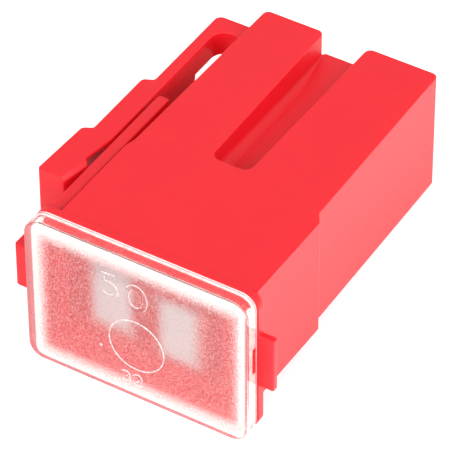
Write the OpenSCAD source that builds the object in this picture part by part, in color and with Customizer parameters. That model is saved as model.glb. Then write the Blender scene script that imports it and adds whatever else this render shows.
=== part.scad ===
// Female cartridge fuse: a moulded housing with an integral latch arm, a clear
// cover that clips on, and one folded element that holds a tin chip on its fusible bridge.
// It lies with the key groove up, the clear cover at the front (-Y) and the two
// terminal mouths at the rear (+Y). Millimetres.

/* [Flange and cover] */
// Width of the flange behind the clear cover
flange_w = 19.5; // [19:0.1:21]
// Height of the flange
flange_h = 13.2; // [12.8:0.1:14]
// Thickness of the flange plate
flange_t = 0.8; // [0.6:0.1:1.2]
// Corner radius of the flange
flange_r = 1.2; // [0.6:0.1:1.8]
// Depth of the clear cover in front of the flange
cover_depth = 1.7; // [1.5:0.1:2.5]
// Wall and front thickness of the clear cover
cover_wall = 0.7; // [0.5:0.1:0.9]
// Distance from the flange's edge in to the cover's edge
cover_inset = 0.1; // [0:0.05:0.4]
// Corner radius of the clear cover
cover_r = 1.3; // [1:0.1:1.8]
// Thickness of the moulded collar inside the cover
collar_wall = 0.8; // [0.6:0.1:1.2]
// Height of the collar in front of the flange
collar_h = 0.6; // [0.4:0.05:0.7]
// Clearance between the collar and the cover
collar_gap = 0.1; // [0.05:0.05:0.2]

/* [Body] */
// Length of the body behind the flange
body_len = 28.5; // [27:0.1:32]
// Height of the body
body_h = 10.8; // [10.6:0.1:12]
// Step from the flange's top edge down to the body's top face
body_drop = 0.1; // [0:0.05:0.4]
// Left side of the front part, from the flange's middle
body_left = 7.9; // [7.7:0.1:8.2]
// Right side of the front part, from the flange's middle
body_right = 9.2; // [8.8:0.1:9.5]
// Length of the wider front part
front_len = 8.9; // [8:0.1:11]
// Step in to the rear part, left side
step_left = 0.25; // [0.1:0.05:0.5]
// Step in to the rear part, right side
step_right = 0.6; // [0.3:0.05:0.9]
// Length over which the sides step in
step_run = 0.9; // [0.5:0.1:1.5]
// Draft of each side of the rear part, from the step to the rear end
side_draft = 0.35; // [0:0.05:0.5]
// Corner radius at the rear end
rear_r = 0.5; // [0.2:0.1:0.8]

/* [Key groove] */
// Width of the groove in the top face, at its closed end
groove_w = 3.3; // [2.8:0.1:3.6]
// Widening of the groove on each side, up to the rear end
groove_flare = 0.3; // [0:0.05:0.4]
// Depth of the groove
groove_depth = 2.1; // [1.2:0.1:2.4]
// Length of the groove, from the rear end
groove_len = 17.4; // [14:0.1:20]
// Radius of the groove's inner corners
groove_r = 0.7; // [0.3:0.1:1]
// Radius where the groove's walls run out at the rear end
groove_lip = 0.6; // [0.3:0.1:0.8]

/* [Terminal chambers] */
// Distance between the two terminals
pitch = 7.6; // [7.4:0.1:8]
// Clearance round each terminal in its chamber
chamber_gap = 0.1; // [0.05:0.05:0.2]
// Depth of the lead-in at each chamber's mouth
mouth_chamfer = 0.5; // [0.3:0.1:0.8]
// Wall below the chambers
chamber_floor = 0.9; // [0.7:0.05:1.2]
// Margin of the front compartment beside the chambers
compartment_side = 1.5; // [1.2:0.1:1.7]
// Margin of the front compartment above and below the chambers
compartment_rim = 0.1; // [0.05:0.05:0.2]
// Depth of the front compartment, from the flange's back
compartment_depth = 2.4; // [2:0.1:4]

/* [Latch arm] */
// Step from the body's top face down to the arm's top edge
latch_drop = 0.75; // [0.6:0.05:1.6]
// Gap between the arm and the body's side
latch_gap = 2.2; // [1.8:0.1:2.6]
// Thickness of the springy strap next to the root
strap_t = 1; // [0.8:0.05:1.3]
// Thickness of the latching part
lock_t = 1.9; // [1.5:0.05:2.1]
// Thickness of the thumb pad
pad_t = 2.7; // [2.2:0.05:3]
// How much further out the pad's front corner reaches
pad_flare = 0.25; // [0.1:0.05:0.4]
// Bevel along the pad's inner top edge
pad_bevel = 0.35; // [0.2:0.05:0.5]
// Height of the strap
strap_h = 2.2; // [1.6:0.1:3]
// Height of the latching part
lock_h = 5; // [3.4:0.1:6]
// Height of the thumb pad
pad_h = 7.8; // [6:0.1:8.5]
// Length of the thumb pad
pad_len = 2.5; // [1.8:0.1:3]
// Front face of the pad, from the flange's back
pad_y = 3.9; // [3.4:0.1:4.5]
// Rear end of the pad's step, from the flange's back
pad_step_y = 9.7; // [9.4:0.1:10.5]
// Rear end of the latching shoulder, from the flange's back
lock_step_y = 17; // [16:0.1:18]
// Rear end of the taller latching part, from the flange's back
lock_end_y = 21.8; // [19:0.1:22]
// Distance from the arm's root to the body's rear end
root_setback = 1.7; // [1:0.1:3]
// Thickness of the root
root_t = 1.5; // [1.1:0.1:2]

/* [Guide rail and lugs] */
// Width of the guide rail on the body's left side
rail_w = 1.5; // [1.1:0.05:1.55]
// Rear end of the guide rail, from the flange's back
rail_len = 16; // [14:0.1:17]
// Width of the relief groove between the rail and the body
rail_groove_w = 0.5; // [0.3:0.1:0.7]
// Depth of that relief groove
rail_groove_depth = 0.8; // [0.4:0.1:1.5]
// Reach of the right lug beyond the flange
lug_right = 1.3; // [0.8:0.1:1.6]
// Reach of the left lug beyond the flange
lug_left = 2; // [1.4:0.1:2.3]
// Lower edge of both lugs, above the flange's lower edge
lug_z = 4.6; // [3:0.1:6]
// Height of the right lug
lug_right_h = 5; // [3.5:0.1:6]
// Height of the left lug
lug_left_h = 4.1; // [3:0.1:6]
// Thickness of the right lug
lug_right_t = 0.6; // [0.4:0.1:0.8]
// Depth of the left lug behind the flange's back
lug_guard = 1.4; // [0.8:0.1:2]

/* [Element] */
// Thickness of the element's sheet
sheet_t = 0.45; // [0.35:0.05:0.55]
// Outer radius of each curled wing
curl_r = 1.4; // [1.25:0.05:1.5]
// Height of each terminal
terminal_h = 8; // [7.4:0.1:8]
// Distance from the terminals' rear ends to the body's rear end
terminal_setback = 1.6; // [0.8:0.1:3]
// Length of the curled wings
wing_len = 16; // [10:0.5:18]
// Width of each head plate behind the cover
head_w = 4; // [3.6:0.1:4]
// Height of each head plate
head_h = 5.6; // [5:0.1:6.4]
// Drop from the terminals' middle down to the head plates' middle
head_drop = 1; // [0.6:0.1:1.2]
// Height of the fusible bridge's strip
bridge_h = 1.3; // [0.9:0.1:1.6]
// Rearward bow of the fusible bridge
bridge_bow = 0.9; // [0.6:0.05:1.1]
// Width of the tin chip along the bridge
chip_w = 1.2; // [0.9:0.1:1.4]
// Thickness of the tin chip
chip_t = 0.6; // [0.4:0.05:0.7]

/* [Hidden] */
$fn = 48;
eps = 0.01;

// Heights, from the flange's lower edge
body_top = flange_h - body_drop;
body_bottom = body_top - body_h;
latch_top = body_top - latch_drop;
rail_top = latch_top;

// Plan of the body
rear_left = body_left - step_left;
rear_right = body_right - step_right;
step_end = front_len + step_run;
step_r = 0.35;

// Latch arm in plan, measured out from the rear part's left side
arm_in = rear_left - side_draft / 2 + latch_gap;
strap_out = arm_in + strap_t;
lock_out = arm_in + lock_t;
pad_out = arm_in + pad_t;
pad_tip = pad_out + pad_flare;
root_y = body_len - root_setback;
bend_r = (arm_in - (rear_left - side_draft)) / 2;
shoulder_run = 0.4;
shoulder_r = 0.5;
pad_end = pad_y + pad_len;
pad_slope = 0.55;
side_step = 0.5;
neck_len = 2.3;
neck_dip = 0.45;
neck_lip = 0.35;
corner_r = 0.3;
root_r = 0.6;
root_sunk = 1;
bend_steps = 12;
past = 1;

// Cover and collar
cover_w = flange_w - 2 * cover_inset;
cover_h = flange_h - 2 * cover_inset;
collar_w = cover_w - 2 * (cover_wall + collar_gap);
collar_height = cover_h - 2 * (cover_wall + collar_gap);
collar_front = -flange_t - collar_h;
catch_h = 2.4;
catch_z = lug_z + lug_right_h / 2;
catch_depth = 0.35;
catch_gap = 0.1;
catch_len = 0.35;
opening_r = 0.8;

// Terminals and chambers
terminal_w = 2 * curl_r;
chamber_w = terminal_w + 2 * chamber_gap;
chamber_h = terminal_h + 2 * chamber_gap;
chamber_z = body_bottom + chamber_floor + chamber_h / 2;
chamber_r = 0.3;
compartment_w = pitch + chamber_w + 2 * compartment_side;
compartment_h = chamber_h + 2 * compartment_rim;
terminal_rear = body_len - terminal_setback;
wing_front = terminal_rear - wing_len;
base_x = pitch / 2 + terminal_w / 2;
base_h = terminal_h - terminal_w;
head_z = chamber_z - head_drop;
curl_sweep = 270;
curl_steps = 18;
neck_end = compartment_depth + 1;
head_y = -0.4;
head_r = 0.6;
head_edge = base_x - head_w;
bridge_z = head_z + head_h / 2 - bridge_h;
crest_w = chip_w + 0.2;
crest_y = head_y + bridge_bow;
crest_r = 0.25;
claw_w = 0.5;
claw_t = 0.25;
claw_tip = 0.35;
chip_gap = 0.02;

// Overall box, for the origin at the bottom centre
x_left = max(flange_w / 2 + lug_left, pad_tip);
x_right = flange_w / 2 + lug_right;
y_front = flange_t + cover_depth;
origin = [(x_left - x_right) / 2, (y_front - body_len) / 2, 0];

// Points of a rounded corner at p, between the edges that come from a and go on to b
function unit(v) = v / norm(v);
function corner_arc(a, p, b, r, n = 5) =
    let (u = unit(a - p), v = unit(b - p),
         half = acos(max(-1, min(1, u * v))) / 2,
         reach = r / tan(half),
         c = p + unit(u + v) * r / sin(half),
         s = p + u * reach - c, e = p + v * reach - c,
         sweep = 180 - 2 * half,
         dir = sign(s[0] * e[1] - s[1] * e[0]))
    [for (i = [0 : n]) let (t = dir * sweep * i / n)
        c + [s[0] * cos(t) - s[1] * sin(t), s[0] * sin(t) + s[1] * cos(t)]];

// Outline through pts, each corner rounded by its own radius
function rounded(pts, radii) =
    let (n = len(pts))
    [for (i = [0 : n - 1])
        each (radii[i] <= 0 ? [pts[i]]
            : corner_arc(pts[(i + n - 1) % n], pts[i], pts[(i + 1) % n], radii[i]))];

// Rectangle with true round corners, centred
module soft_rect(w, h, r) {
    square([w - 2 * r, h], center = true);
    square([w, h - 2 * r], center = true);
    for (sx = [-1, 1])
        for (sy = [-1, 1])
            translate([sx * (w / 2 - r), sy * (h / 2 - r)])
                circle(r);
}

// Stands an XZ outline up and runs it from y0 to y1
module along_y(y0, y1) {
    translate([0, y1, 0])
        rotate([90, 0, 0])
            linear_extrude(y1 - y0)
                children();
}

// Plan outline between two heights
module between_z(z0, z1) {
    translate([0, 0, z0])
        linear_extrude(z1 - z0)
            children();
}

// Body in plan: a wider front part, a slanted step and a drafted rear part
module body_plan() {
    polygon(rounded(
        [[-body_left, -eps], [body_right, -eps],
         [body_right, front_len], [rear_right, step_end],
         [rear_right - side_draft, body_len], [side_draft - rear_left, body_len],
         [-rear_left, step_end], [-body_left, front_len]],
        [0, 0, step_r, step_r, rear_r, rear_r, step_r, step_r]));
}

module body_block() {
    between_z(body_bottom, body_top)
        body_plan();
}

module flange() {
    translate([0, 0, flange_h / 2])
        along_y(-flange_t, 0)
            soft_rect(flange_w, flange_h, flange_r);
}

// Low collar that the clear cover snaps over, with a catch on each side
module collar() {
    translate([0, 0, flange_h / 2])
        along_y(collar_front, -flange_t + eps)
            soft_rect(collar_w, collar_height, cover_r - cover_wall);
    for (side = [-1, 1])
        translate([side * (collar_w + catch_depth) / 2, -flange_t - catch_len / 2, catch_z])
            cube([catch_depth + eps, catch_len + eps, catch_h], center = true);
}

// The right lug is a plain plate, the left lug reaches back as a guard for the latch
module lugs() {
    edge = flange_w / 2;
    inner = edge - flange_r;
    between_z(lug_z, lug_z + lug_right_h)
        polygon(rounded(
            [[inner, -flange_t], [x_right, -flange_t],
             [x_right, lug_right_t - flange_t], [inner, lug_right_t - flange_t]],
            [0, corner_r / 2, corner_r / 2, 0]));
    between_z(lug_z, lug_z + lug_left_h)
        polygon(rounded(
            [[-inner, -flange_t], [-inner, 0], [-edge + corner_r, 0],
             [-edge + corner_r, lug_guard], [-edge - lug_left, lug_guard],
             [-edge - lug_left, -flange_t]],
            [0, 0, 0, corner_r, corner_r, corner_r]));
}

// Rail beside the latch arm, with a relief groove against the body
module guide_rail() {
    wall_x = rear_left - side_draft;
    difference() {
        between_z(body_bottom, rail_top)
            polygon(rounded(
                [[-wall_x, -eps], [-wall_x, rail_len],
                 [-body_left - rail_w, rail_len], [-body_left - rail_w, -eps]],
                [0, 0, corner_r, 0]));
        translate([-body_left - rail_groove_w, -past, rail_top - rail_groove_depth])
            cube([rail_groove_w, rail_len + 2 * past, rail_groove_depth + past]);
    }
}

// Latch arm in plan: root, bend, strap, latching shoulder and thumb pad
module latch_plan() {
    root_x = side_draft - rear_left + root_sunk;
    bend_y = root_y - root_t - bend_r;
    inner_bend = [for (i = [0 : bend_steps]) let (t = 180 * i / bend_steps)
        [bend_r - arm_in + bend_r * cos(t), bend_y + bend_r * sin(t)]];
    polygon(concat(
        rounded(
            [[pad_slope - pad_out, pad_y], [-pad_tip, pad_y],
             [-pad_out, pad_step_y], [-lock_out, pad_step_y + shoulder_run],
             [-lock_out, lock_step_y], [-strap_out, lock_step_y + shoulder_run],
             [-strap_out, root_y], [root_x, root_y]],
            [0, corner_r, shoulder_r, corner_r, shoulder_r, corner_r, root_r, 0]),
        [[root_x, bend_y]],
        inner_bend,
        [[-arm_in, pad_step_y], [-arm_in - neck_dip, pad_end + neck_dip],
         [-arm_in, pad_end], [-arm_in - pad_slope, pad_y]]));
}

// Side view of the arm: a shallow strap, a deeper latching part and the tall pad
module latch_side() {
    strap_z = latch_top - strap_h;
    lock_z = latch_top - lock_h;
    pad_z = latch_top - pad_h;
    polygon(
        [[pad_y - past, latch_top], [body_len, latch_top], [body_len, strap_z],
         [lock_end_y, strap_z], [lock_end_y - side_step, lock_z],
         [pad_end + side_step, lock_z], [pad_end, pad_z], [pad_y - past, pad_z]]);
}

// Slanted relief under the neck behind the pad
module neck_relief() {
    lip_z = latch_top - neck_lip;
    along_y(pad_end + neck_dip, pad_end + neck_dip + neck_len)
        polygon(
            [[past - arm_in, lip_z - neck_dip], [-arm_in - neck_dip, lip_z],
             [-pad_out - past, lip_z - pad_t - past], [-pad_out - past, body_bottom - past],
             [past - arm_in, body_bottom - past]]);
}

// Wedge off the pad's inner top edge
module pad_edge_cut() {
    reach = pad_bevel + past;
    translate([-arm_in, pad_end, latch_top])
        rotate([0, 0, -atan2(pad_slope, pad_len)])
            along_y(-pad_len - past, neck_dip)
                polygon([[-reach, past], [past, past], [past, -reach]]);
}

module latch_arm() {
    difference() {
        intersection() {
            between_z(body_bottom, latch_top)
                latch_plan();
            translate([-pad_out - past, 0, 0])
                rotate([90, 0, 90])
                    linear_extrude(pad_out + past)
                        latch_side();
        }
        neck_relief();
        pad_edge_cut();
    }
}

// Key groove, open at the rear end and a little wider there
module key_groove() {
    front = groove_w / 2;
    rear = front + groove_flare;
    outside = body_len + eps;
    between_z(body_top - groove_depth, body_top + past)
        polygon(rounded(
            [[-front, body_len - groove_len], [front, body_len - groove_len],
             [rear, outside], [rear + past, outside], [rear + past, body_len + past],
             [-rear - past, body_len + past], [-rear - past, outside], [-rear, outside]],
            [groove_r, groove_r, groove_lip, 0, 0, 0, 0, groove_lip]));
}

// Outline of a flare that opens towards the rear end from a chamber of the given size
module flare_outline(size) {
    flare = mouth_chamfer + past;
    polygon(
        [[-size / 2, body_len - mouth_chamfer], [size / 2, body_len - mouth_chamfer],
         [size / 2 + flare, body_len + past], [-size / 2 - flare, body_len + past]]);
}

// One terminal chamber with a chamfered mouth
module chamber() {
    translate([0, 0, chamber_z]) {
        along_y(compartment_depth - eps, body_len + past)
            soft_rect(chamber_w, chamber_h, chamber_r);
        intersection() {
            linear_extrude(chamber_h + 2 * mouth_chamfer + past, center = true)
                flare_outline(chamber_w);
            rotate([0, 90, 0])
                linear_extrude(chamber_w + 2 * mouth_chamfer + past, center = true)
                    flare_outline(chamber_h);
        }
    }
}

// Compartment behind the clear cover, where the fusible bridge lies
module compartment() {
    translate([0, 0, chamber_z])
        along_y(collar_front - past, compartment_depth)
            soft_rect(compartment_w, compartment_h, opening_r);
}

module collar_opening() {
    translate([0, 0, flange_h / 2])
        along_y(collar_front - past, -flange_t)
            soft_rect(collar_w - 2 * collar_wall, collar_height - 2 * collar_wall, opening_r);
}

module housing_form() {
    difference() {
        union() {
            body_block();
            flange();
            collar();
            lugs();
            guide_rail();
            latch_arm();
        }
        key_groove();
        compartment();
        collar_opening();
        for (side = [-1, 1])
            translate([side * pitch / 2, 0, 0])
                chamber();
    }
}

// Clear cover: a shallow box with a round-cornered rim and a window for each catch
module cover_form() {
    front = -flange_t - cover_depth;
    difference() {
        translate([0, 0, flange_h / 2])
            along_y(front, -flange_t)
                soft_rect(cover_w, cover_h, cover_r);
        translate([0, 0, flange_h / 2])
            along_y(front + cover_wall, past - flange_t)
                soft_rect(cover_w - 2 * cover_wall, cover_h - 2 * cover_wall,
                          cover_r - cover_wall);
        translate([0, -flange_t, catch_z])
            cube([cover_w - 2 * (cover_wall - catch_depth - catch_gap),
                  2 * (catch_len + catch_gap), catch_h + 2 * catch_gap], center = true);
    }
}

// One curled wing: a ring sector that rolls over from the base sheet
module wing_section() {
    angles = [for (i = [0 : curl_steps]) 180 - curl_sweep * i / curl_steps];
    outer = [for (t = angles) curl_r * [cos(t), sin(t)]];
    inner = [for (i = [curl_steps : -1 : 0])
        (curl_r - sheet_t) * [cos(angles[i]), sin(angles[i])]];
    polygon(concat(outer, inner));
}

// Cross-section of a terminal, its flat base sheet at negative X
module terminal_section() {
    translate([-curl_r, -base_h / 2])
        square([sheet_t, base_h]);
    for (side = [0, 1])
        mirror([0, side])
            translate([0, base_h / 2])
                wing_section();
}

// Upright stretch of the base sheet between two places along Y
module base_sheet(y0, y1, z_mid, h) {
    translate([base_x - sheet_t, y0, z_mid - h / 2])
        cube([sheet_t, y1 - y0, h]);
}

// Terminal, neck and head plate of the right-hand side
module half_element() {
    translate([pitch / 2, 0, chamber_z])
        along_y(wing_front, terminal_rear)
            mirror([1, 0])
                terminal_section();
    base_sheet(neck_end - eps, wing_front + eps, chamber_z, base_h);
    base_sheet(head_y + sheet_t, neck_end, head_z, head_h);
    between_z(head_z - head_h / 2, head_z + head_h / 2)
        polygon(rounded(
            [[head_edge, head_y], [base_x, head_y], [base_x, head_y + 2 * sheet_t],
             [base_x - sheet_t, head_y + 2 * sheet_t], [base_x - sheet_t, head_y + sheet_t],
             [head_edge, head_y + sheet_t]],
            [0, head_r, 0, 0, head_r - sheet_t, 0]));
}

// One face of the bridge in plan: it bows rearward between the head plates to a flat crest
function bridge_face(y, dir) = rounded(
    [[-dir * head_edge, y], [-dir * crest_w / 2, y + bridge_bow],
     [dir * crest_w / 2, y + bridge_bow], [dir * head_edge, y]],
    [0, crest_r, crest_r, 0]);

module bridge() {
    between_z(bridge_z, bridge_z + bridge_h)
        polygon(concat(bridge_face(head_y, 1), bridge_face(head_y + sheet_t, -1)));
}

// Claws that are bent over the tin chip, above and below the strip
module claws() {
    tip_y = crest_y - chip_t - 2 * chip_gap - claw_t;
    for (side = [0, 1])
        translate([-claw_w / 2, tip_y, bridge_z + bridge_h / 2])
            mirror([0, 0, side]) {
                translate([0, 0, bridge_h / 2])
                    cube([claw_w, crest_y + sheet_t - tip_y, claw_t]);
                translate([0, 0, bridge_h / 2 - claw_tip])
                    cube([claw_w, claw_t, claw_tip + claw_t]);
            }
}

module element_form() {
    half_element();
    mirror([1, 0, 0])
        half_element();
    bridge();
    claws();
}

// Tin chip that sits on the strip, inside the claws
module chip_form() {
    rear = crest_y - chip_gap;
    side = chip_w / 2;
    between_z(bridge_z + chip_gap, bridge_z + bridge_h - chip_gap)
        polygon(rounded(
            [[-side, rear - chip_t], [side, rear - chip_t], [side, rear], [-side, rear]],
            [chip_t / 4, chip_t / 4, 0, 0]));
}

module placed() {
    translate(origin)
        children();
}

module housing() {
    color("#f5333a")
        placed()
            housing_form();
}

module clear_cover() {
    color([0.95, 0.96, 0.97, 0.45])
        placed()
            cover_form();
}

module fuse_element() {
    color("#cfc8b8")
        placed()
            element_form();
}

module tin_chip() {
    color("#b9bcc0")
        placed()
            chip_form();
}

housing();
clear_cover();
fuse_element();
tin_chip();
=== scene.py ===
"""Looks of a red cartridge fuse: its moulded housing, clear cover, folded element and tin chip."""

import logging
import math
from dataclasses import dataclass, field
from enum import Enum
from typing import Callable, Sequence

import bmesh
import bpy
from mathutils import Matrix, Vector


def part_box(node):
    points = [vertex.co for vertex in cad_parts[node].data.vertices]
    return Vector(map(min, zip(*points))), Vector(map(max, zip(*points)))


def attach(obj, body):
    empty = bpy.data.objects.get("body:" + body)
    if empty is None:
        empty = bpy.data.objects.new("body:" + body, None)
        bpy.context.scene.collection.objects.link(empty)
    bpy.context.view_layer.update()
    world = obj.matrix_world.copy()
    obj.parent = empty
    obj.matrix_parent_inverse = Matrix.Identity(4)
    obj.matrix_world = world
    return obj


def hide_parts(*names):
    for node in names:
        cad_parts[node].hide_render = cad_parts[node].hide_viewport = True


MM = 0.001
BODY = "root"
WHITE = (1.0, 1.0, 1.0, 1.0)
log = logging.getLogger("cartridge_fuse")
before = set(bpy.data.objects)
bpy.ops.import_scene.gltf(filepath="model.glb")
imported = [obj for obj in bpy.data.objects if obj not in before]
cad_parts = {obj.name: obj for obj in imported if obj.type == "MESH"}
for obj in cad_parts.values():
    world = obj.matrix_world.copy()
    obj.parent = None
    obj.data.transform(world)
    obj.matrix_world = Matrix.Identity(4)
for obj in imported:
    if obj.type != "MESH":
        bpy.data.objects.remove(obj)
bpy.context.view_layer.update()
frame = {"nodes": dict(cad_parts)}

Span = tuple[float, float]
Point = tuple[float, float]
Box = tuple[float, float, float, float]
Ring = list[Point]


class Moulding(Enum):
    """How the surface of a clear moulding leaves its tool, and the painted bright band and flank
    highlight that stand in for light.
    """

    POLISHED = "polished"
    ERODED = "eroded"
    DRAGGED = "dragged"
    PAINTED_BRIGHT_BAND = "painted_bright_band"
    PAINTED_FLANK_HIGHLIGHT = "raised"


class Glyph(Enum):
    """Centre lines that the raised marks are drawn with."""

    TWO = "2"
    THREE = "3"
    FIVE = "5"
    ZERO = "0"


def linear(hex_colour: str) -> tuple[float, float, float, float]:
    """Turn an sRGB hex colour into linear values.

    Args:
        hex_colour: Colour such as "#f71b22".

    Returns:
        Linear red, green and blue, with an alpha of 1.
    """
    # The numbers are the sRGB standard's own.
    channels = [int(hex_colour[i:i + 2], 16) / 255 for i in (1, 3, 5)]
    red, green, blue = (c / 12.92 if c <= 0.04045 else ((c + 0.055) / 1.055) ** 2.4
                        for c in channels)
    return red, green, blue, 1.0


def add_node(tree: bpy.types.NodeTree, kind: str, settings: dict | None = None,
             **inputs: object) -> bpy.types.Node:
    """Add one node with its settings and links.

    Args:
        tree: Node tree that the node goes into.
        kind: Blender's name of the node's type.
        settings: Properties of the node itself.
        **inputs: Socket values by name, with underscores for spaces, or output sockets to link.
            A name such as "i0" or "i1" means the socket of that number.

    Returns:
        The new node.
    """
    node = tree.nodes.new(kind)
    for name, value in (settings or {}).items():
        setattr(node, name, value)
    for name, value in inputs.items():
        numbered = name[0] == "i" and name[1:].isdigit()
        socket = node.inputs[int(name[1:])] if numbered else node.inputs[name.replace("_", " ")]
        if isinstance(value, bpy.types.NodeSocket):
            tree.links.new(value, socket)
        else:
            socket.default_value = value
    return node


def new_material(name: str) -> tuple[bpy.types.Material, bpy.types.NodeTree]:
    """Make an empty node material.

    Args:
        name: Name of the material.

    Returns:
        The material and its node tree, with no nodes in it.
    """
    material = bpy.data.materials.new(name)
    material.use_nodes = True
    material.node_tree.nodes.clear()
    return material, material.node_tree


def object_place(tree: bpy.types.NodeTree, unit_mm: float,
                 stretch: float = 1.0) -> bpy.types.NodeSocket:
    """Give the object's own coordinates, scaled to a pattern.

    Args:
        tree: Node tree that takes the nodes.
        unit_mm: Size of the pattern's unit in millimetres.
        stretch: How much longer the pattern is along Y.

    Returns:
        The scaled coordinates.
    """
    coordinates = add_node(tree, "ShaderNodeTexCoord")
    scale = 1 / unit_mm / MM
    mapping = add_node(tree, "ShaderNodeMapping", Vector=coordinates.outputs["Object"],
                       Scale=(scale, scale / stretch, scale))
    return mapping.outputs["Vector"]


@dataclass(frozen=True)
class MouldedPolyamide:
    """Polyamide 66, injection moulded in a finely eroded tool.

    The resin is filled with pigment and a little translucent, so thin webs glow and edges
    look soft. The tool's texture scatters the shine into a broad satin veil.
    """

    name: str = "moulded_polyamide_red"
    colour: str = "#df1222"
    deep_colour: str = "#d90f1f"
    satin: Span = (0.43, 0.54)
    ior: float = 1.47
    grain_mm: float = 0.11
    grain_depth_mm: float = 0.0035
    flow_mm: float = 4.0
    glow: float = 0.5
    glow_mm: float = 1.3

    def build(self) -> bpy.types.Material:
        """Make the material.

        Returns:
            The finished material.
        """
        material, tree = new_material(self.name)
        flow = add_node(tree, "ShaderNodeTexNoise", Vector=object_place(tree, self.flow_mm),
                        Scale=1.0, Detail=3.0, Roughness=0.55)
        colour = add_node(tree, "ShaderNodeMix", {"data_type": "RGBA"},
                          i0=flow.outputs["Fac"], i6=linear(self.deep_colour),
                          i7=linear(self.colour))
        # The eroded grain is about 0.03 mm across. It is drawn coarser, so that it shows.
        grain = add_node(tree, "ShaderNodeTexNoise", Vector=object_place(tree, self.grain_mm),
                         Scale=1.0, Detail=2.0, Roughness=0.6)
        satin = add_node(tree, "ShaderNodeMapRange", Value=grain.outputs["Fac"], From_Min=0.3,
                         From_Max=0.7, To_Min=self.satin[0], To_Max=self.satin[1])
        bump = add_node(tree, "ShaderNodeBump", Strength=0.5,
                        Distance=self.grain_depth_mm * MM, Height=grain.outputs["Fac"])
        shader = add_node(tree, "ShaderNodeBsdfPrincipled",
                          Base_Color=colour.outputs[2], Roughness=satin.outputs["Result"],
                          IOR=self.ior, Normal=bump.outputs["Normal"],
                          Subsurface_Weight=self.glow, Subsurface_Radius=(1.0, 0.25, 0.12),
                          Subsurface_Scale=self.glow_mm * MM)
        add_node(tree, "ShaderNodeOutputMaterial", Surface=shader.outputs["BSDF"])
        return material


@dataclass(frozen=True)
class ClearFinish:
    """How clear plastic looks from one kind of tool surface; two kinds are painted light instead.

    Each pattern runs from its pits to its crests: how rough the surface is, what share of it
    is clouded, between which heights the cloud sets in, and the cloud's two colours.
    """

    rough: Span
    cloud: Span
    cloud_range: Span
    grain_mm: float
    depth_mm: float
    colour: str
    crest: str
    stretch: float = 1.0


CLEAR_FINISHES = {
    Moulding.POLISHED: ClearFinish(
        rough=(0.0, 0.06), cloud=(0.0, 0.04), cloud_range=(0.5, 0.8), grain_mm=1.5,
        depth_mm=0.002, colour="#fbf9f6", crest="#fbf9f6"),
    # Erosion pits are about 0.05 mm across. They are drawn coarser, so that they show.
    # The cloud's red is painted: it stands in for the red housing seen through the frosting.
    Moulding.ERODED: ClearFinish(
        rough=(0.25, 0.4), cloud=(0.6, 0.9), cloud_range=(0.46, 0.62), grain_mm=0.135,
        depth_mm=0.0015, colour="#c35458", crest="#e29d9a"),
    # Drag marks run the way that the tool opened, about 0.03 mm apart. They are drawn coarser.
    # The cloud's pink is painted: it stands in for the red housing seen through the walls.
    Moulding.DRAGGED: ClearFinish(
        rough=(0.1, 0.2), cloud=(0.0, 0.3), cloud_range=(0.55, 0.75), grain_mm=0.16,
        depth_mm=0.004, colour="#e88484", crest="#f6cdcb", stretch=8.0),
    # Painted bright band: a white cloud that stands in for the pale surroundings which the rim and
    # the right wall bend into view.
    Moulding.PAINTED_BRIGHT_BAND: ClearFinish(
        rough=(0.2, 0.4), cloud=(0.7, 0.95), cloud_range=(0.3, 0.7), grain_mm=0.6,
        depth_mm=0.004, colour="#f6e9e6", crest="#fbf9f6"),
    # Painted highlight: a white cloud on the marks' flanks, standing in for the light that their
    # edges catch.
    Moulding.PAINTED_FLANK_HIGHLIGHT: ClearFinish(
        rough=(0.1, 0.3), cloud=(0.45, 0.9), cloud_range=(0.35, 0.65), grain_mm=0.25,
        depth_mm=0.002, colour="#f0d8d5", crest="#fbf3f0"),
}


@dataclass(frozen=True)
class Border:
    """A painted white band between two upright rectangles, for the pale surroundings that the
    walls bend into view, and a clearer painted pale red edge outside it, for the red housing seen
    through the walls.

    A rectangle is its left, right, low and high side in millimetres, and each fades over its
    own run.
    """

    outer: Box
    inner: Box
    outer_run: float = 0.1
    inner_run: float = 1.4
    cloud: float = 0.88
    colour: str = "#eae1de"
    edge_cloud: float = 0.7
    edge_colour: str = "#cd7a7e"


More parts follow.
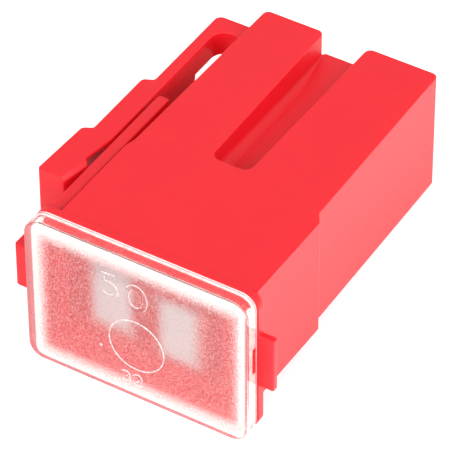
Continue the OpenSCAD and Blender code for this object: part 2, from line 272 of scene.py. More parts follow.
@dataclass(frozen=True)
class ClearPolycarbonate:
    """Polycarbonate, injection moulded, clear where the tool was polished.

    Its high index bends the pale surroundings into bright bands at the walls. Where the tool was
    spark eroded the same resin is frosted and looks grainy; the red behind it is painted into its
    cloud. A painted white band round the panel stands in for more bright bands, painted highlights
    sit on the flanks of the marks, and painted pale patches stand for the plates behind.
    """

    name: str = "clear_polycarbonate"
    moulding: Moulding = Moulding.POLISHED
    ior: float = 1.585
    colour: str = "#fbf9f6"
    border: Border | None = None
    # Painted pale patches for the plates seen through the frosting.
    plates: tuple[Box, ...] = ()
    plate_run: float = 1.5
    plate_colour: str = "#cdbbbb"
    corner: float = 1.2
    ragged: float = 0.6
    ragged_mm: float = 0.13
    lamp_colour: str = "#f4f4f4"

    def inside(self, tree: bpy.types.NodeTree, place: bpy.types.Node,
               box: Box, run: float) -> bpy.types.NodeSocket:
        """Fade from 0 outside a rectangle to 1 inside it, with soft corners and ragged sides.

        Args:
            tree: Node tree that takes the nodes.
            place: Node that gives the place in millimetres as X, Y and Z.
            box: Left, right, low and high side.
            run: Width of the fading.

        Returns:
            The fading value.
        """
        left, right, low, high = box
        gaps = [add_node(tree, "ShaderNodeMath", {"operation": "SUBTRACT"}, i0=a, i1=b).outputs[0]
                for a, b in ((place.outputs["X"], left), (right, place.outputs["X"]),
                             (place.outputs["Z"], low), (high, place.outputs["Z"]))]
        sides = [add_node(tree, "ShaderNodeMath", {"operation": "MINIMUM"}, i0=a, i1=b).outputs[0]
                 for a, b in (gaps[:2], gaps[2:])]
        near = add_node(tree, "ShaderNodeMath", {"operation": "SMOOTH_MIN"},
                        i0=sides[0], i1=sides[1], i2=self.corner)
        # The ragged grain is about 0.05 mm across. It is drawn coarser, so that it shows.
        grain = add_node(tree, "ShaderNodeTexNoise", Vector=object_place(tree, self.ragged_mm),
                         Scale=1.0, Detail=2.0)
        middle = self.ragged * run
        speckled = add_node(tree, "ShaderNodeMath", {"operation": "MULTIPLY_ADD"},
                            i0=grain.outputs["Fac"], i1=2 * middle, i2=near.outputs[0])
        fade = add_node(tree, "ShaderNodeMapRange", {"interpolation_type": "SMOOTHSTEP"},
                        Value=speckled.outputs[0], From_Min=middle - run / 2,
                        From_Max=middle + run / 2)
        return fade.outputs["Result"]

    def build(self) -> bpy.types.Material:
        """Make the material.

        Returns:
            The finished material.
        """
        material, tree = new_material(self.name)
        finish = CLEAR_FINISHES[self.moulding]
        pits = add_node(tree, "ShaderNodeTexNoise",
                        Vector=object_place(tree, finish.grain_mm, finish.stretch),
                        Scale=1.0, Detail=3.0, Roughness=0.7)
        rough = add_node(tree, "ShaderNodeMapRange", Value=pits.outputs["Fac"], From_Min=0.3,
                         From_Max=0.7, To_Min=finish.rough[0], To_Max=finish.rough[1])
        bump = add_node(tree, "ShaderNodeBump", Strength=0.5,
                        Distance=finish.depth_mm * MM, Height=pits.outputs["Fac"])
        pitted = add_node(tree, "ShaderNodeMapRange", Value=pits.outputs["Fac"],
                          From_Min=finish.cloud_range[0],
                          From_Max=finish.cloud_range[1]).outputs["Result"]
        cloud = add_node(tree, "ShaderNodeMapRange", Value=pitted, To_Min=finish.cloud[0],
                         To_Max=finish.cloud[1]).outputs["Result"]
        place = add_node(tree, "ShaderNodeSeparateXYZ", Vector=object_place(tree, 1.0))
        clear = add_node(tree, "ShaderNodeBsdfPrincipled",
                         Base_Color=linear(self.colour), Roughness=rough.outputs["Result"],
                         IOR=self.ior, Normal=bump.outputs["Normal"], Transmission_Weight=1.0)
        colour = add_node(tree, "ShaderNodeMix", {"data_type": "RGBA"}, i0=pitted,
                          i6=linear(finish.colour), i7=linear(finish.crest)).outputs[2]
        # A painted pale soft patch stands for the lit plates right behind the frosting, as seen
        # through it.
        for box in self.plates:
            patch = self.inside(tree, place, box, self.plate_run)
            colour = add_node(tree, "ShaderNodeMix", {"data_type": "RGBA"}, i0=patch, i6=colour,
                              i7=linear(self.plate_colour)).outputs[2]
        # A painted white band round the panel, and a painted pale red edge outside it.
        if self.border:
            edge = self.border
            outer = self.inside(tree, place, edge.outer, edge.outer_run)
            inner = self.inside(tree, place, edge.inner, edge.inner_run)
            for share, here, shade in ((inner, edge.cloud, edge.colour),
                                       (outer, edge.edge_cloud, edge.edge_colour)):
                cloud = add_node(tree, "ShaderNodeMix", i0=share, i2=here, i3=cloud).outputs[0]
                colour = add_node(tree, "ShaderNodeMix", {"data_type": "RGBA"}, i0=share,
                                  i6=linear(shade), i7=colour).outputs[2]
        cloudy = add_node(tree, "ShaderNodeBsdfDiffuse", Color=colour,
                          Normal=bump.outputs["Normal"])
        resin = add_node(tree, "ShaderNodeMixShader", i0=cloud, i1=clear.outputs["BSDF"],
                         i2=cloudy.outputs["BSDF"])
        # Lamps reach what is behind the clear wall.
        path = add_node(tree, "ShaderNodeLightPath")
        through = add_node(tree, "ShaderNodeBsdfTransparent", Color=linear(self.lamp_colour))
        mix = add_node(tree, "ShaderNodeMixShader", i0=path.outputs["Is Shadow Ray"],
                       i1=resin.outputs["Shader"], i2=through.outputs["BSDF"])
        add_node(tree, "ShaderNodeOutputMaterial", Surface=mix.outputs["Shader"])
        return material


@dataclass(frozen=True)
class TinPlate:
    """Copper alloy strip, tin plated and then stamped.

    The soft plating is pale and faintly drawn out along the strip, with a broken satin shine.
    """

    name: str = "tin_plated_copper_alloy"
    colour: str = "#e9e6e0"
    shade: str = "#d5d1c8"
    satin: Span = (0.32, 0.5)
    streak_mm: float = 0.25
    drawn_out: float = 12.0

    def build(self) -> bpy.types.Material:
        """Make the material.

        Returns:
            The finished material.
        """
        material, tree = new_material(self.name)
        streaks = add_node(tree, "ShaderNodeTexNoise",
                           Vector=object_place(tree, self.streak_mm, self.drawn_out),
                           Scale=1.0, Detail=4.0, Roughness=0.6)
        colour = add_node(tree, "ShaderNodeMix", {"data_type": "RGBA"},
                          i0=streaks.outputs["Fac"], i6=linear(self.shade),
                          i7=linear(self.colour))
        rough = add_node(tree, "ShaderNodeMapRange", Value=streaks.outputs["Fac"],
                         To_Min=self.satin[0], To_Max=self.satin[1])
        bump = add_node(tree, "ShaderNodeBump", Strength=0.3, Distance=0.002 * MM,
                        Height=streaks.outputs["Fac"])
        shader = add_node(tree, "ShaderNodeBsdfPrincipled", Metallic=1.0,
                          Base_Color=colour.outputs[2], Roughness=rough.outputs["Result"],
                          Normal=bump.outputs["Normal"])
        add_node(tree, "ShaderNodeOutputMaterial", Surface=shader.outputs["BSDF"])
        return material


@dataclass(frozen=True)
class BareTin:
    """Tin, cut from wire and pressed into the claws: dull, grey and slightly dimpled."""

    name: str = "pressed_tin"
    colour: str = "#b9babb"
    shade: str = "#9c9d9f"
    roughness: float = 0.5
    dimple_mm: float = 0.15

    def build(self) -> bpy.types.Material:
        """Make the material.

        Returns:
            The finished material.
        """
        material, tree = new_material(self.name)
        dimples = add_node(tree, "ShaderNodeTexNoise",
                           Vector=object_place(tree, self.dimple_mm), Scale=1.0, Detail=2.0)
        colour = add_node(tree, "ShaderNodeMix", {"data_type": "RGBA"},
                          i0=dimples.outputs["Fac"], i6=linear(self.shade),
                          i7=linear(self.colour))
        bump = add_node(tree, "ShaderNodeBump", Strength=0.4, Distance=0.01 * MM,
                        Height=dimples.outputs["Fac"])
        shader = add_node(tree, "ShaderNodeBsdfPrincipled", Metallic=1.0,
                          Base_Color=colour.outputs[2], Roughness=self.roughness,
                          Normal=bump.outputs["Normal"])
        add_node(tree, "ShaderNodeOutputMaterial", Surface=shader.outputs["BSDF"])
        return material


@dataclass(frozen=True)
class StudioPaper:
    """Seamless white paper: matt, and bright enough to stand as the plain background.

    The camera and the clear plastic see it lifted to plain white. Satin faces mirror it by a lift
    that grows across a painted pool of light.
    """

    name: str = "white_studio_paper"
    colour: str = "#e6e6e6"
    fibre_mm: float = 0.8
    lift: float = 0.5
    gloss_lift: Span = (0.1, 1.7)
    pool_mm: Span = (-15.0, 25.0)

    def build(self) -> bpy.types.Material:
        """Make the material.

        Returns:
            The finished material.
        """
        material, tree = new_material(self.name)
        fibre = add_node(tree, "ShaderNodeTexNoise", Vector=object_place(tree, self.fibre_mm),
                         Scale=1.0, Detail=2.0)
        bump = add_node(tree, "ShaderNodeBump", Strength=0.05, Distance=0.01 * MM,
                        Height=fibre.outputs["Fac"])
        paper = add_node(tree, "ShaderNodeBsdfDiffuse", Color=linear(self.colour),
                         Normal=bump.outputs["Normal"])
        path = add_node(tree, "ShaderNodeLightPath")
        seen = add_node(tree, "ShaderNodeMath", {"operation": "MAXIMUM"},
                        i0=path.outputs["Is Camera Ray"], i1=path.outputs["Is Transmission Ray"])
        # A painted pool of light, brightest on the side where the softbox stands, which shows only
        # in reflections.
        place = add_node(tree, "ShaderNodeSeparateXYZ", Vector=object_place(tree, 1.0))
        pool = add_node(tree, "ShaderNodeMapRange", Value=place.outputs["X"],
                        From_Min=self.pool_mm[0], From_Max=self.pool_mm[1],
                        To_Min=self.gloss_lift[0], To_Max=self.gloss_lift[1])
        mirrored = add_node(tree, "ShaderNodeMath", {"operation": "MULTIPLY"},
                            i0=path.outputs["Is Glossy Ray"], i1=pool.outputs["Result"])
        strength = add_node(tree, "ShaderNodeMath", {"operation": "MULTIPLY_ADD"},
                            i0=seen.outputs[0], i1=self.lift, i2=mirrored.outputs[0])
        lifted = add_node(tree, "ShaderNodeEmission", Color=WHITE, Strength=strength.outputs[0])
        both = add_node(tree, "ShaderNodeAddShader", i0=paper.outputs["BSDF"],
                        i1=lifted.outputs["Emission"])
        add_node(tree, "ShaderNodeOutputMaterial", Surface=both.outputs["Shader"])
        return material


def mesh_object(name: str, mesh: bmesh.types.BMesh,
                materials: Sequence[bpy.types.Material]) -> bpy.types.Object:
    """Turn a mesh in millimetres into an object in metres.

    Args:
        name: Name of the piece.
        mesh: Mesh in millimetres. It is freed.
        materials: Materials by slot.

    Returns:
        The new object, linked to the scene.
    """
    data = bpy.data.meshes.new(name)
    mesh.to_mesh(data)
    mesh.free()
    data.transform(Matrix.Scale(MM, 4))
    for material in materials:
        data.materials.append(material)
    piece = bpy.data.objects.new(name, data)
    bpy.context.scene.collection.objects.link(piece)
    return piece


def bake_modifiers(piece: bpy.types.Object) -> None:
    """Apply the modifiers of a piece to its mesh."""
    evaluated = piece.evaluated_get(bpy.context.evaluated_depsgraph_get())
    final = bpy.data.meshes.new_from_object(evaluated)
    piece.modifiers.clear()
    piece.data = final


def weigh_normals(piece: bpy.types.Object, sharp_deg: float = 40.0) -> None:
    """Shade a piece smooth over its roundings while its flat faces stay flat.

    Args:
        piece: Piece to shade.
        sharp_deg: Edges sharper than this stay sharp.
    """
    mesh = bmesh.new()
    mesh.from_mesh(piece.data)
    limit = math.radians(sharp_deg)
    for face in mesh.faces:
        face.smooth = True
    for edge in mesh.edges:
        edge.smooth = len(edge.link_faces) == 2 and edge.calc_face_angle(0.0) < limit
    mesh.to_mesh(piece.data)
    mesh.free()
    weighted = piece.modifiers.new("weighted", "WEIGHTED_NORMAL")
    weighted.keep_sharp = True
    bake_modifiers(piece)


@dataclass(frozen=True)
class Rounding:
    """How a solid's mesh is cleaned and its edges rounded."""

    weld_mm: float = 0.0005
    flat_deg: float = 1.0
    corner_deg: float = 28.0
    segments: int = 4


def soften_edges(source: bpy.types.Object, name: str, material: bpy.types.Material,
                 widest_mm: float, radius_at: Callable[[Vector], float],
                 how: Rounding = Rounding()) -> bpy.types.Object:
    """Copy a node's solid with all its sharp edges rounded as a mould rounds them.

    Args:
        source: Node whose form is copied.
        name: Name of the new piece.
        material: Material of the new piece.
        widest_mm: Size of the widest rounding.
        radius_at: Gives the size of the rounding at a point, all in millimetres.
        how: How the mesh is cleaned and rounded.

    Returns:
        The new piece.
    """
    mesh = bmesh.new()
    mesh.from_mesh(source.data)
    mesh.transform(Matrix.Scale(1 / MM, 4))
    bmesh.ops.remove_doubles(mesh, verts=mesh.verts, dist=how.weld_mm)
    bmesh.ops.dissolve_degenerate(mesh, dist=how.weld_mm, edges=mesh.edges)
    bmesh.ops.dissolve_limit(mesh, angle_limit=math.radians(how.flat_deg), verts=mesh.verts,
                             edges=mesh.edges)
    bmesh.ops.connect_verts_concave(mesh, faces=mesh.faces)
    weight = mesh.edges.layers.float.new("bevel_weight_edge")
    limit = math.radians(how.corner_deg)
    for edge in mesh.edges:
        if len(edge.link_faces) == 2 and edge.calc_face_angle(0.0) > limit:
            edge[weight] = min(radius_at(v.co) for v in edge.verts) / widest_mm
    piece = mesh_object(name, mesh, [material])
    bevel = piece.modifiers.new("rounding", "BEVEL")
    bevel.limit_method = "WEIGHT"
    bevel.width = widest_mm * MM
    bevel.segments = how.segments
    bevel.use_clamp_overlap = False
    bevel.loop_slide = False
    bake_modifiers(piece)
    weigh_normals(piece)
    return piece


@dataclass
class Housing:
    """The red moulding: flange, body, groove, latch arm, guide rail and lugs.

    The roundings and the places that set them are in millimetres, as the solid has them.
    """

    plastic: MouldedPolyamide = field(default_factory=MouldedPolyamide)
    edge_mm: float = 0.1
    fillet_mm: float = 0.9
    hair_mm: float = 0.03
    groove_floor: float = 11.0
    groove_end: float = 14.95
    groove_half: float = 2.5
    flange_back: float = -13.0
    flange_step: float = 13.0
    mouth_step: float = 15.0
    floor_slack: float = 0.01
    flange_slack: float = 0.05
    mouth_slack: float = 0.005

    def build(self, node: bpy.types.Object) -> bpy.types.Object:
        """Round the moulding's edges and dress it.

        Args:
            node: The solid that the piece stands for.

        Returns:
            The dressed piece.
        """
        centre = sum(corner[0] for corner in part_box("clear_cover")) / 2 / MM

        def radius_at(point: Vector) -> float:
            """Give the rounding at a point.

            Args:
                point: Place in millimetres.

            Returns:
                A wide fillet on the groove's floor, a hair at the flange's low step, none
                where the mouths' own bevels end, and the plain rounding elsewhere.
            """
            x, y, z = point
            if abs(y - self.mouth_step) < self.mouth_slack:
                return 0.0
            on_floor = abs(z - self.groove_floor) < self.floor_slack
            if on_floor and abs(x - centre) < self.groove_half and y < self.groove_end:
                return self.fillet_mm
            if z > self.flange_step and abs(y - self.flange_back) < self.flange_slack:
                return self.hair_mm
            return self.edge_mm

        piece = soften_edges(node, "housing_moulding", self.plastic.build(), self.fillet_mm,
                             radius_at)
        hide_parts("housing")
        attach(piece, BODY)
        return piece


def round_rectangle(width: float, height: float, radius: float, steps: int) -> Ring:
    """Outline of a rectangle with round corners, centred.

    Args:
        width: Width of the rectangle.
        height: Height of the rectangle.
        radius: Radius of its corners.
        steps: Number of segments per corner.

    Returns:
        Points, anticlockwise from the right-hand side.
    """
    points = []
    for quarter, (sx, sy) in enumerate(((1, 1), (-1, 1), (-1, -1), (1, -1))):
        cx, cy = sx * (width / 2 - radius), sy * (height / 2 - radius)
        for i in range(steps + 1):
            angle = math.pi / 2 * (quarter + i / steps)
            points.append((cx + radius * math.cos(angle), cy + radius * math.sin(angle)))
    return points


def arc(centre: Point, radii: Span, start: float, end: float, steps: int = 24) -> Ring:
    """Points along an elliptic arc.

    Args:
        centre: Middle of the ellipse.
        radii: Half width and half height.
        start: First angle in degrees.
        end: Last angle in degrees.
        steps: Number of segments.

    Returns:
        The points.
    """
    angles = (math.radians(start + (end - start) * i / steps) for i in range(steps + 1))
    return [(centre[0] + radii[0] * math.cos(a), centre[1] + radii[1] * math.sin(a))
            for a in angles]


def ellipse(centre: Point, radii: Span, count: int) -> Ring:
    """Points round a whole ellipse, the last one a step short of the first.

    Args:
        centre: Middle of the ellipse.
        radii: Half width and half height.
        count: Number of points.

    Returns:
        The points.
    """
    return arc(centre, radii, 0, 360 - 360 / count, count - 1)


def glyph_line(glyph: Glyph) -> tuple[Ring, bool]:
    """Centre line of a digit in a box of width and height 1.

    Args:
        glyph: Which digit.

    Returns:
        Its points, and whether the line closes on itself.
    """
    if glyph is Glyph.ZERO:
        return ellipse((0.5, 0.5), (0.5, 0.5), 24), True
    if glyph is Glyph.FIVE:
        bowl = arc((0.46, 0.32), (0.5, 0.32), 125, -150)
        return [(0.92, 1.0), (0.16, 1.0), (0.07, 0.53)] + bowl, False
    if glyph is Glyph.THREE:
        upper = arc((0.46, 0.74), (0.42, 0.26), 160, -80)
        lower = arc((0.46, 0.26), (0.5, 0.26), 80, -160)
        return upper + lower, False
    hook = arc((0.48, 0.7), (0.46, 0.3), 165, -35)
    return hook + [(0.02, 0.0), (1.0, 0.0)], False


# The cover's finishes in the order of its slots.
COVER_SLOTS = {moulding: slot for slot, moulding in enumerate((
    Moulding.POLISHED, Moulding.ERODED, Moulding.PAINTED_BRIGHT_BAND, Moulding.DRAGGED, Moulding.PAINTED_FLANK_HIGHLIGHT))}


@dataclass(frozen=True)
class Ridge:
    """Section of a raised mark: how proud it stands, its sloped flanks and its least top."""

    height: float = 0.06
    flank: float = 0.055
    least_top: float = 0.02
    thin_top: float = 0.03


def sweep_ridge(mesh: bmesh.types.BMesh, line: Ring, closed: bool, face_y: float,
                half_width: float, ridge: Ridge = Ridge()) -> None:
    """Sweep a low ridge with sloped flanks along a line on the cover's front face.

    Args:
        mesh: Mesh that takes the ridge, in millimetres.
        line: Points of the line, as X and Z.
        closed: Whether the line closes on itself.
        face_y: Place of the front face.
        half_width: Half the ridge's width.
        ridge: The ridge's section. It is sunk as deep as it stands proud.
    """
    top = max(half_width - ridge.flank, ridge.least_top)
    height = ridge.height
    section = [(-half_width, height), (half_width, height), (half_width, 0.0), (top, -height),
               (-top, -height), (-half_width, 0.0)]
    # Sides 2 and 4 are the flanks, which carry a painted highlight. Side 3 is the top, which
    # counts as a flank where it is thin.
    flanks = (2, 4) if top > ridge.thin_top else (2, 3, 4)
    raised, frosted = COVER_SLOTS[Moulding.PAINTED_FLANK_HIGHLIGHT], COVER_SLOTS[Moulding.ERODED]
    count = len(line)
    rings = []
    for i, (x, z) in enumerate(line):
        ahead = line[(i + 1) % count] if closed or i + 1 < count else line[i]
        behind = line[i - 1] if closed or i else line[i]
        along = Vector((ahead[0] - behind[0], ahead[1] - behind[1])).normalized()
        across = Vector((along[1], -along[0]))
        rings.append([mesh.verts.new((x + across[0] * out, face_y + deep, z + across[1] * out))
                      for out, deep in section])
    pairs = zip(rings, rings[1:] + rings[:1]) if closed else zip(rings, rings[1:])
    sides = len(section)
    for a, b in pairs:
        for k in range(sides):
            face = mesh.faces.new((a[k], a[(k + 1) % sides], b[(k + 1) % sides], b[k]))
            face.material_index = raised if k in flanks else frosted
    if not closed:
        for cap in (rings[0], list(reversed(rings[-1]))):
            mesh.faces.new(cap).material_index = raised


@dataclass(frozen=True)
class Digit:
    """A raised digit in millimetres, placed from the cover's middle and from the base."""

    glyph: Glyph
    x: float
    z: float
    width: float
    height: float
    half_width: float


@dataclass(frozen=True)
class Circle:
    """A raised circle in millimetres, placed from the cover's middle and from the base."""

    x: float
    z: float
    radius: float
    points: int
    half_width: float = 0.06


@dataclass
class ClearCover:
    """The clear box over the front, with its frosted panel and raised marks.

    The painted band's borders are insets from the left, right, low and high side.
    The painted patches where the plates show through are given from the cover's middle and from
    the base.
    """

    wall: float = 0.7
    corner: float = 1.3
    least_corner: float = 0.25
    corner_steps: int = 8
    outer_round: float = 0.25
    inner_round: float = 0.25
    rim_round: float = 0.12
    round_steps: int = 6
    rim_band: float = 0.2
    overhang: float = 0.28
    slack: float = 0.01
    sharp_deg: float = 50.0
    outer_border: Box = (0.75, 0.08, 0.5, -0.1)
    inner_border: Box = (1.65, 0.8, 1.35, 1.1)
    plate_boxes: tuple[Box, ...] = ((-3.5, -0.2, 6.4, 12.2), (2.3, 5.5, 5.7, 11.2))
    digits: tuple[Digit, ...] = (
        Digit(Glyph.FIVE, x=-2.8, z=9.25, width=1.4, height=2.05, half_width=0.23),
        Digit(Glyph.ZERO, x=-0.55, z=9.0, width=1.6, height=2.2, half_width=0.23),
        Digit(Glyph.THREE, x=-1.15, z=1.25, width=0.7, height=1.05, half_width=0.13),
        Digit(Glyph.TWO, x=-0.1, z=1.25, width=0.7, height=1.05, half_width=0.13),
    )
    pin_ring: Circle = Circle(x=0.2, z=5.3, radius=2.4, points=60)
    gate_dot: Circle = Circle(x=-2.98, z=3.96, radius=0.07, points=8)

    def materials(self, low: Vector, high: Vector) -> list[bpy.types.Material]:
        """Make the cover's finishes.

        Args:
            low: Lowest corner of the cover, in millimetres.
            high: Highest corner of the cover, in millimetres.

        Returns:
            The materials in the order of COVER_SLOTS.
        """
        outer, inner = ((low[0] + left, high[0] - right, low[2] + under, high[2] - over)
                        for left, right, under, over in (self.outer_border, self.inner_border))
        middle = (low[0] + high[0]) / 2
        plates = tuple((middle + left, middle + right, under, over)
                       for left, right, under, over in self.plate_boxes)
        return [ClearPolycarbonate().build(),
                ClearPolycarbonate("frosted_polycarbonate", Moulding.ERODED,
                                   border=Border(outer, inner), plates=plates).build(),
                ClearPolycarbonate("painted_bright_band_polycarbonate", Moulding.PAINTED_BRIGHT_BAND).build(),
                ClearPolycarbonate("dragged_polycarbonate", Moulding.DRAGGED).build(),
                ClearPolycarbonate("painted_flank_highlight_polycarbonate", Moulding.PAINTED_FLANK_HIGHLIGHT).build()]

    def profile(self, front: float, back: float) -> Ring:
        """Section of the wall from the outer front panel round the rim to the inner panel.

        Args:
            front: Place of the front face.
            back: Place of the rim.

        Returns:
            Points as the inset from the cover's side and the place along Y.
        """
        quarter = [math.pi / 2 * i / self.round_steps for i in range(self.round_steps + 1)]
        outer, rim, inner = self.outer_round, self.rim_round, self.inner_round
        points = [(outer - outer * math.sin(t), front + outer - outer * math.cos(t))
                  for t in quarter]
        points.append((0.0, back - self.rim_band))
        points += [(rim - rim * math.cos(t), back - rim + rim * math.sin(t)) for t in quarter]
        points += [(self.wall - rim + rim * math.sin(t), back - rim + rim * math.cos(t))
                   for t in quarter]
        points.append((self.wall, back - self.rim_band))
        panel = front + self.wall
        points += [(self.wall + inner - inner * math.cos(t), panel + inner - inner * math.sin(t))
                   for t in quarter]
        return points

    def loft(self, mesh: bmesh.types.BMesh, low: Vector, high: Vector) -> None:
        """Loft the cover's skin and choose each face's finish.

        Args:
            mesh: Mesh that takes the skin.
            low: Lowest corner of the cover, in millimetres.
            high: Highest corner of the cover, in millimetres.
        """
        width, height = high[0] - low[0], high[2] - low[2]
        centre = (low + high) / 2
        front, back = low[1], high[1]
        rings = []
        for inset, y in self.profile(front, back):
            outline = round_rectangle(width - 2 * inset, height - 2 * inset,
                                      max(self.corner - inset, self.least_corner),
                                      self.corner_steps)
            rings.append([mesh.verts.new((centre[0] + x, y, centre[2] + z)) for x, z in outline])
        for a, b in zip(rings, rings[1:]):
            for i in range(len(a)):
                j = (i + 1) % len(a)
                mesh.faces.new((a[i], a[j], b[j], b[i]))
        mesh.faces.new(rings[0])
        mesh.faces.new(list(reversed(rings[-1])))
        mesh.normal_update()
        for face in mesh.faces:
            face.material_index = COVER_SLOTS[self.finish_of(face, low, high)]
        bmesh.ops.recalc_face_normals(mesh, faces=mesh.faces)

    def finish_of(self, face: bmesh.types.BMFace, low: Vector, high: Vector) -> Moulding:
        """Choose how the tool left a face.

        Args:
            face: Face of the skin.
            low: Lowest corner of the cover, in millimetres.
            high: Highest corner of the cover, in millimetres.

        Returns:
            A painted bright band on the rim and inside the right wall, frosted on the front,
            dragged inside the other walls and polished elsewhere.
        """
        depths = [v.co[1] for v in face.verts]
        panel = low[1] + self.wall
        right_wall = high[0] - self.wall - 2 * self.slack
        # The rim and the inside of the right wall take the painted bright band.
        if min(depths) > high[1] - self.rim_band - self.slack:
            return Moulding.PAINTED_BRIGHT_BAND
        if max(depths) < low[1] + self.outer_round + self.slack:
            return Moulding.ERODED
        if min(depths) > panel - self.slack and max(depths) > panel + self.slack:
            on_right = face.calc_center_median()[0] > right_wall
            return Moulding.PAINTED_BRIGHT_BAND if on_right else Moulding.DRAGGED
        return Moulding.POLISHED

    def marks(self, mesh: bmesh.types.BMesh, face_y: float, centre_x: float) -> None:
        """Draw the raised digits, the ring of the ejector pin and the gate's dot.

        Args:
            mesh: Mesh that takes the ridges.
            face_y: Place of the front face.
            centre_x: Middle of the cover.
        """
        for digit in self.digits:
            line, closed = glyph_line(digit.glyph)
            placed = [(centre_x + digit.x + u * digit.width, digit.z + v * digit.height)
                      for u, v in line]
            sweep_ridge(mesh, placed, closed, face_y, digit.half_width)
        for circle in (self.pin_ring, self.gate_dot):
            line = ellipse((centre_x + circle.x, circle.z), (circle.radius, circle.radius),
                           circle.points)
            sweep_ridge(mesh, line, True, face_y, circle.half_width)

    def build(self, node: str) -> bpy.types.Object:
        """Build the cover and its marks as one skin.

        Args:
            node: Name of the solid that the piece stands for.

        Returns:
            The dressed piece.
        """
        low, high = (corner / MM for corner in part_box(node))
        # The rim stands a hair proud of the flange above and below.
        low[2] -= self.overhang
        high[2] += self.overhang
        materials = self.materials(low, high)
        shell, ridges = bmesh.new(), bmesh.new()
        self.loft(shell, low, high)
        self.marks(ridges, low[1], (low[0] + high[0]) / 2)
        bmesh.ops.recalc_face_normals(ridges, faces=ridges.faces)
        piece = mesh_object("clear_cover_shell", shell, materials)
        relief = mesh_object("cover_relief", ridges, materials)
        union = piece.modifiers.new("relief", "BOOLEAN")
        union.operation = "UNION"
        union.solver = "EXACT"
        union.object = relief
        union.use_self = True
        bake_modifiers(piece)
        bpy.data.objects.remove(relief)
        weigh_normals(piece, self.sharp_deg)
        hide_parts(node)
        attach(piece, BODY)
        return piece


@dataclass
class Element:
    """The folded element and its tin chip, which keep their own solids."""

    plate: TinPlate = field(default_factory=TinPlate)
    tin: BareTin = field(default_factory=BareTin)

    def dress(self, nodes: dict[str, bpy.types.Object]) -> list[bpy.types.Object]:
        """Give both nodes their metal.

        Args:
            nodes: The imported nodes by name.

        Returns:
            The dressed nodes.
        """
        finishes = {"fuse_element": self.plate.build(), "tin_chip": self.tin.build()}
        for name, material in finishes.items():
            nodes[name].data.materials.clear()
            nodes[name].data.materials.append(material)
        return [nodes[name] for name in finishes]


def away_from(azimuth: float, elevation: float) -> Vector:
    """Direction from the object to where something stands.

    Args:
        azimuth: Degrees round the object, from the front to the right.
        elevation: Degrees above the table.

    Returns:
        A vector of length 1.
    """
    a, e = math.radians(azimuth), math.radians(elevation)
    return Vector((math.sin(a) * math.cos(e), -math.cos(a) * math.cos(e), math.sin(e)))


@dataclass
class Lamp:
    """One softbox, placed by where it stands as seen from the object."""

    name: str
    azimuth: float
    elevation: float
    distance: float
    size: float
    power: float

    def build(self, aim: Vector) -> bpy.types.Object:
        """Set the lamp up.

        Args:
            aim: Point that the lamp faces.

        Returns:
            The lamp.
        """
        away = away_from(self.azimuth, self.elevation)
        data = bpy.data.lights.new(self.name, "AREA")
        data.shape = "DISK"
        data.size = self.size
        data.energy = self.power
        lamp = bpy.data.objects.new(self.name, data)
        lamp.location = aim + away * self.distance
        lamp.rotation_mode = "QUATERNION"
        lamp.rotation_quaternion = (-away).to_track_quat("-Z", "Y")
        bpy.context.scene.collection.objects.link(lamp)
        return lamp


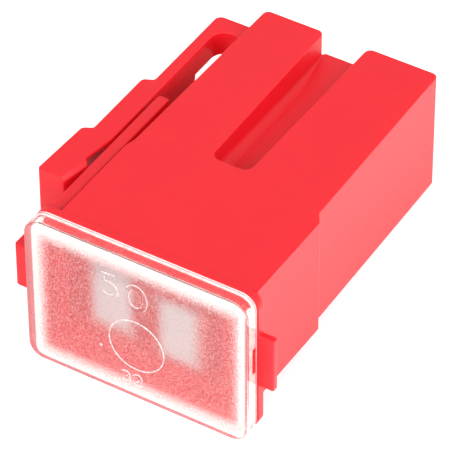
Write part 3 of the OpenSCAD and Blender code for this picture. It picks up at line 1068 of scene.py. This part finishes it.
@dataclass
class Studio:
    """White paper, soft lamps and the camera at the photograph's angle.

    The camera's aim, angles and distance are fitted to the object's straight edges. The
    paper's places are in millimetres: the lower edges that rest on it, and its own size.
    """

    aim: Vector = field(default_factory=lambda: Vector((-0.00011, -0.00116, 0.006)))
    azimuth: float = 31.772
    elevation: float = 41.424
    roll: float = -0.286
    distance: float = 0.3025
    lens: float = 316.18
    sensor: float = 36.0
    clip: Span = (0.01, 10.0)
    world_level: float = 0.68
    gloss_level: float = 0.85
    front_y: float = -13.0
    rear_y: float = 15.5
    rear_z: float = 2.3
    paper_drop: float = 0.2
    paper_half: float = 700.0
    paper_rows: int = 12
    paper: StudioPaper = field(default_factory=StudioPaper)
    lamps: tuple[Lamp, ...] = (
        Lamp("softbox_right", azimuth=85.0, elevation=40.0, distance=0.45, size=0.28, power=1.15),
        Lamp("softbox_front", azimuth=-5.0, elevation=32.0, distance=0.5, size=0.35, power=1.75),
    )

    def set_camera(self) -> None:
        """Make the camera and hand it to the scene."""
        a = math.radians(self.azimuth)
        back = away_from(self.azimuth, self.elevation)
        turn = Matrix.Rotation(math.radians(self.roll), 3, back)
        right = turn @ Vector((math.cos(a), math.sin(a), 0.0))
        up = back.cross(right)
        data = bpy.data.cameras.new("camera")
        data.lens = self.lens
        data.sensor_width = self.sensor
        data.clip_start, data.clip_end = self.clip
        camera = bpy.data.objects.new("camera", data)
        pose = Matrix((right, up, back)).transposed().to_4x4()
        pose.translation = self.aim + back * self.distance
        camera.matrix_world = pose
        bpy.context.scene.collection.objects.link(camera)
        bpy.context.scene.camera = camera

    def lay_paper(self) -> None:
        """Lay the paper so that the flange's and the body's lower edges both rest on it."""
        slope = self.rear_z / (self.rear_y - self.front_y)
        half = self.paper_half
        mesh = bmesh.new()
        grid = []
        for i in range(self.paper_rows + 1):
            y = -half + 2 * half * i / self.paper_rows
            z = (y - self.front_y) * slope - self.paper_drop
            grid.append([mesh.verts.new((x, y, z)) for x in (-half, 0.0, half)])
        for a, b in zip(grid, grid[1:]):
            for k in range(2):
                mesh.faces.new((a[k], a[k + 1], b[k + 1], b[k]))
        paper = mesh_object("studio_paper", mesh, [self.paper.build()])

    def light_world(self) -> None:
        """Fill the room with soft white light, and show plain white to the camera."""
        world = bpy.data.worlds.new("studio")
        world.use_nodes = True
        tree = world.node_tree
        tree.nodes.clear()
        path = add_node(tree, "ShaderNodeLightPath")
        seen = add_node(tree, "ShaderNodeMath", {"operation": "MAXIMUM"},
                        i0=path.outputs["Is Camera Ray"], i1=path.outputs["Is Transmission Ray"])
        mirrored = add_node(tree, "ShaderNodeMapRange", Value=path.outputs["Is Glossy Ray"],
                            To_Min=self.world_level, To_Max=self.gloss_level)
        level = add_node(tree, "ShaderNodeMix", i0=seen.outputs[0],
                         i2=mirrored.outputs["Result"], i3=1.0)
        background = add_node(tree, "ShaderNodeBackground", Color=WHITE,
                              Strength=level.outputs[0])
        add_node(tree, "ShaderNodeOutputWorld", Surface=background.outputs["Background"])
        bpy.context.scene.world = world

    def build(self) -> None:
        """Set the whole studio up."""
        self.set_camera()
        self.lay_paper()
        self.light_world()
        for lamp in self.lamps:
            lamp.build(self.aim)
        bpy.context.scene.view_settings.view_transform = "Standard"


def report(piece: bpy.types.Object) -> None:
    """Log a finished piece and its number of faces."""
    log.info("%s: %d faces", piece.name, len(piece.data.polygons))


def main() -> None:
    """Build the studio and dress the fuse, piece by piece."""
    logging.basicConfig(level=logging.INFO, format="%(message)s")
    Studio().build()
    log.info("studio set")
    report(Housing().build(frame["nodes"]["housing"]))
    report(ClearCover().build("clear_cover"))
    for piece in Element().dress(frame["nodes"]):
        report(piece)


if __name__ == "__main__":
    main()
